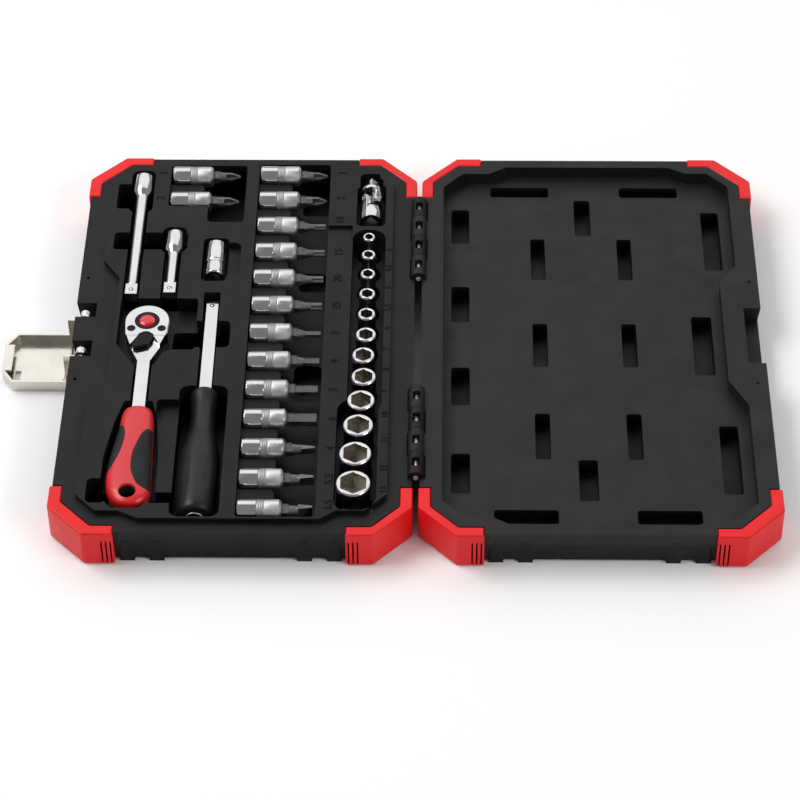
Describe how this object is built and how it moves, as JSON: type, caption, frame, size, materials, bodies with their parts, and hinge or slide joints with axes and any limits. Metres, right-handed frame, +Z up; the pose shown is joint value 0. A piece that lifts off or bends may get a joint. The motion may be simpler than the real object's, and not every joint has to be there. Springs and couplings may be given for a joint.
{
  "type": "socket wrench set in case",
  "caption": "Quarter-inch socket wrench set in an open blow-moulded case: sockets, bit sockets, ratchet, driver handle, extension bars, coupler and universal joint in a shaped tray.",
  "frame": {"origin": "middle of the open set's footprint, on the surface it lies on", "axes": "+Z up, +X from the tool tray towards the lid, Y along the hinge"},
  "size_m": [0.4108, 0.2916, 0.0296],
  "materials": {
    "case_plastic": "charcoal blow-moulded polyethylene, fine grain",
    "guard_plastic": "bright red satin corner guards",
    "bare_steel": "plain drawn wire",
    "latch_nickel": "nickel-plated sheet steel",
    "tool_chrome": "polished chrome with satin bands",
    "dark_steel": "blackened steel",
    "grip_plastic": "glossy red",
    "soft_inlay": "soft black grip inlay",
    "handle_plastic": "dark grey satin handle"
  },
  "bodies": {
    "base": {"base_shell": "case_plastic", "base_guard_outer_rear": "guard_plastic", "base_guard_outer_front": "guard_plastic", "base_guard_inner_rear": "guard_plastic", "base_guard_inner_front": "guard_plastic", "hinge_pin_rear": "bare_steel", "hinge_pin_front": "bare_steel", "latch_pin": "latch_nickel"},
    "lid": {"lid_shell": "case_plastic", "lid_guard_outer_rear": "guard_plastic", "lid_guard_outer_front": "guard_plastic", "lid_guard_inner_rear": "guard_plastic", "lid_guard_inner_front": "guard_plastic"},
    "latch": {"latch_plate": "latch_nickel"},
    "socket_4mm": {"socket_4mm": "tool_chrome"},
    "socket_4_5mm": {"socket_4_5mm": "tool_chrome"},
    "socket_5mm": {"socket_5mm": "tool_chrome"},
    "socket_5_5mm": {"socket_5_5mm": "tool_chrome"},
    "socket_6mm": {"socket_6mm": "tool_chrome"},
    "socket_7mm": {"socket_7mm": "tool_chrome"},
    "socket_8mm": {"socket_8mm": "tool_chrome"},
    "socket_9mm": {"socket_9mm": "tool_chrome"},
    "socket_10mm": {"socket_10mm": "tool_chrome"},
    "socket_11mm": {"socket_11mm": "tool_chrome"},
    "socket_12mm": {"socket_12mm": "tool_chrome"},
    "socket_13mm": {"socket_13mm": "tool_chrome"},
    "bit_socket_right_1_cross": {"bit_socket_right_1_cross": "tool_chrome"},
    "bit_socket_right_2_cross": {"bit_socket_right_2_cross": "tool_chrome"},
    "bit_socket_right_3_star": {"bit_socket_right_3_star": "tool_chrome"},
    "bit_socket_right_4_star": {"bit_socket_right_4_star": "tool_chrome"},
    "bit_socket_right_5_star": {"bit_socket_right_5_star": "tool_chrome"},
    "bit_socket_right_6_star": {"bit_socket_right_6_star": "tool_chrome"},
    "bit_socket_right_7_hex": {"bit_socket_right_7_hex": "tool_chrome"},
    "bit_socket_right_8_hex": {"bit_socket_right_8_hex": "tool_chrome"},
    "bit_socket_right_9_hex": {"bit_socket_right_9_hex": "tool_chrome"},
    "bit_socket_right_10_hex": {"bit_socket_right_10_hex": "tool_chrome"},
    "bit_socket_right_11_slot": {"bit_socket_right_11_slot": "tool_chrome"},
    "bit_socket_right_12_slot": {"bit_socket_right_12_slot": "tool_chrome"},
    "bit_socket_right_13_slot": {"bit_socket_right_13_slot": "tool_chrome"},
    "bit_socket_left_1_cross": {"bit_socket_left_1_cross": "tool_chrome"},
    "bit_socket_left_2_cross": {"bit_socket_left_2_cross": "tool_chrome"},
    "extension_long": {"extension_long": "tool_chrome"},
    "extension_short": {"extension_short": "tool_chrome"},
    "coupler": {"coupler": "tool_chrome"},
    "ujoint": {"ujoint_socket_yoke": "tool_chrome"},
    "ujoint_cross": {"ujoint_cross": "tool_chrome"},
    "ujoint_square": {"ujoint_square_yoke": "tool_chrome"},
    "ratchet": {"ratchet_body": "tool_chrome", "ratchet_cover": "tool_chrome", "ratchet_screws": "dark_steel", "ratchet_grip": "grip_plastic", "ratchet_grip_inlays": "soft_inlay"},
    "ratchet_drive": {"ratchet_drive": "dark_steel"},
    "ratchet_button": {"ratchet_button": "grip_plastic"},
    "ratchet_lever": {"ratchet_lever": "dark_steel"},
    "ratchet_pawl": {"ratchet_pawl": "dark_steel"},
    "spinner": {"spinner_handle": "handle_plastic", "spinner_shaft": "tool_chrome", "spinner_insert": "tool_chrome"}
  },
  "joints": [
    {"name": "lid_hinge", "type": "hinge", "parent": "base", "child": "lid", "pos_m": [0.01855, 0, 0.023], "axis": [0, -1, 0], "range_deg": [0, 180]},
    {"name": "latch_hinge", "type": "hinge", "parent": "base", "child": "latch", "pos_m": [-0.16195, 0, 0.018], "axis": [0, 1, 0], "range_deg": [0, 90]},
    {"name": "socket_4mm_lift", "type": "slide", "parent": "base", "child": "socket_4mm", "axis": [0, 0, 1], "range_m": [0, 0.075]},
    {"name": "socket_4_5mm_lift", "type": "slide", "parent": "base", "child": "socket_4_5mm", "axis": [0, 0, 1], "range_m": [0, 0.075]},
    {"name": "socket_5mm_lift", "type": "slide", "parent": "base", "child": "socket_5mm", "axis": [0, 0, 1], "range_m": [0, 0.075]},
    {"name": "socket_5_5mm_lift", "type": "slide", "parent": "base", "child": "socket_5_5mm", "axis": [0, 0, 1], "range_m": [0, 0.075]},
    {"name": "socket_6mm_lift", "type": "slide", "parent": "base", "child": "socket_6mm", "axis": [0, 0, 1], "range_m": [0, 0.075]},
    {"name": "socket_7mm_lift", "type": "slide", "parent": "base", "child": "socket_7mm", "axis": [0, 0, 1], "range_m": [0, 0.075]},
    {"name": "socket_8mm_lift", "type": "slide", "parent": "base", "child": "socket_8mm", "axis": [0, 0, 1], "range_m": [0, 0.075]},
    {"name": "socket_9mm_lift", "type": "slide", "parent": "base", "child": "socket_9mm", "axis": [0, 0, 1], "range_m": [0, 0.075]},
    {"name": "socket_10mm_lift", "type": "slide", "parent": "base", "child": "socket_10mm", "axis": [0, 0, 1], "range_m": [0, 0.075]},
    {"name": "socket_11mm_lift", "type": "slide", "parent": "base", "child": "socket_11mm", "axis": [0, 0, 1], "range_m": [0, 0.075]},
    {"name": "socket_12mm_lift", "type": "slide", "parent": "base", "child": "socket_12mm", "axis": [0, 0, 1], "range_m": [0, 0.075]},
    {"name": "socket_13mm_lift", "type": "slide", "parent": "base", "child": "socket_13mm", "axis": [0, 0, 1], "range_m": [0, 0.075]},
    {"name": "bit_socket_right_1_cross_lift", "type": "slide", "parent": "base", "child": "bit_socket_right_1_cross", "axis": [0, 0, 1], "range_m": [0, 0.075]},
    {"name": "bit_socket_right_2_cross_lift", "type": "slide", "parent": "base", "child": "bit_socket_right_2_cross", "axis": [0, 0, 1], "range_m": [0, 0.075]},
    {"name": "bit_socket_right_3_star_lift", "type": "slide", "parent": "base", "child": "bit_socket_right_3_star", "axis": [0, 0, 1], "range_m": [0, 0.075]},
    {"name": "bit_socket_right_4_star_lift", "type": "slide", "parent": "base", "child": "bit_socket_right_4_star", "axis": [0, 0, 1], "range_m": [0, 0.075]},
    {"name": "bit_socket_right_5_star_lift", "type": "slide", "parent": "base", "child": "bit_socket_right_5_star", "axis": [0, 0, 1], "range_m": [0, 0.075]},
    {"name": "bit_socket_right_6_star_lift", "type": "slide", "parent": "base", "child": "bit_socket_right_6_star", "axis": [0, 0, 1], "range_m": [0, 0.075]},
    {"name": "bit_socket_right_7_hex_lift", "type": "slide", "parent": "base", "child": "bit_socket_right_7_hex", "axis": [0, 0, 1], "range_m": [0, 0.075]},
    {"name": "bit_socket_right_8_hex_lift", "type": "slide", "parent": "base", "child": "bit_socket_right_8_hex", "axis": [0, 0, 1], "range_m": [0, 0.075]},
    {"name": "bit_socket_right_9_hex_lift", "type": "slide", "parent": "base", "child": "bit_socket_right_9_hex", "axis": [0, 0, 1], "range_m": [0, 0.075]},
    {"name": "bit_socket_right_10_hex_lift", "type": "slide", "parent": "base", "child": "bit_socket_right_10_hex", "axis": [0, 0, 1], "range_m": [0, 0.075]},
    {"name": "bit_socket_right_11_slot_lift", "type": "slide", "parent": "base", "child": "bit_socket_right_11_slot", "axis": [0, 0, 1], "range_m": [0, 0.075]},
    {"name": "bit_socket_right_12_slot_lift", "type": "slide", "parent": "base", "child": "bit_socket_right_12_slot", "axis": [0, 0, 1], "range_m": [0, 0.075]},
    {"name": "bit_socket_right_13_slot_lift", "type": "slide", "parent": "base", "child": "bit_socket_right_13_slot", "axis": [0, 0, 1], "range_m": [0, 0.075]},
    {"name": "bit_socket_left_1_cross_lift", "type": "slide", "parent": "base", "child": "bit_socket_left_1_cross", "axis": [0, 0, 1], "range_m": [0, 0.075]},
    {"name": "bit_socket_left_2_cross_lift", "type": "slide", "parent": "base", "child": "bit_socket_left_2_cross", "axis": [0, 0, 1], "range_m": [0, 0.075]},
    {"name": "extension_long_lift", "type": "slide", "parent": "base", "child": "extension_long", "axis": [0, 0, 1], "range_m": [0, 0.075]},
    {"name": "extension_short_lift", "type": "slide", "parent": "base", "child": "extension_short", "axis": [0, 0, 1], "range_m": [0, 0.075]},
    {"name": "coupler_lift", "type": "slide", "parent": "base", "child": "coupler", "axis": [0, 0, 1], "range_m": [0, 0.075]},
    {"name": "ujoint_lift", "type": "slide", "parent": "base", "child": "ujoint", "axis": [0, 0, 1], "range_m": [0, 0.075]},
    {"name": "ujoint_bend", "type": "hinge", "parent": "ujoint", "child": "ujoint_cross", "pos_m": [-0.00845, 0.1065, 0.023], "axis": [0.7071, 0, -0.7071], "range_deg": [0, 15]},
    {"name": "ujoint_bend_far", "type": "hinge", "parent": "ujoint_cross", "child": "ujoint_square", "pos_m": [-0.00845, 0.1065, 0.023], "axis": [0.7071, 0, 0.7071], "range_deg": [0, 15]},
    {"name": "ratchet_lift", "type": "slide", "parent": "base", "child": "ratchet", "axis": [0, 0, 1], "range_m": [0, 0.075]},
    {"name": "ratchet_spin", "type": "hinge", "parent": "ratchet", "child": "ratchet_drive", "pos_m": [-0.1267, 0.0043, 0.023], "axis": [0, 0, 1], "continuous": true},
    {"name": "ratchet_release", "type": "slide", "parent": "ratchet_drive", "child": "ratchet_button", "axis": [0, 0, -1], "range_m": [0, 0.0014], "stiffness_N_per_m": 400, "springref_m": -0.002},
    {"name": "ratchet_reverse", "type": "hinge", "parent": "ratchet", "child": "ratchet_lever", "pos_m": [-0.1267, -0.0086, 0.023], "axis": [0, 0, 1], "range_deg": [0, 60]},
    {"name": "pawl_shift", "type": "slide", "parent": "ratchet", "child": "ratchet_pawl", "axis": [1, 0, 0], "range_m": [0, 0.00078]},
    {"name": "spinner_lift", "type": "slide", "parent": "base", "child": "spinner", "axis": [0, 0, 1], "range_m": [0, 0.075]}
  ],
  "couplings": [
    {"joint": "ujoint_bend_far", "follows": "ujoint_bend", "ratio": 1},
    {"joint": "ratchet_reverse", "follows": "pawl_shift", "rad_per_m": 1340}
  ]
}
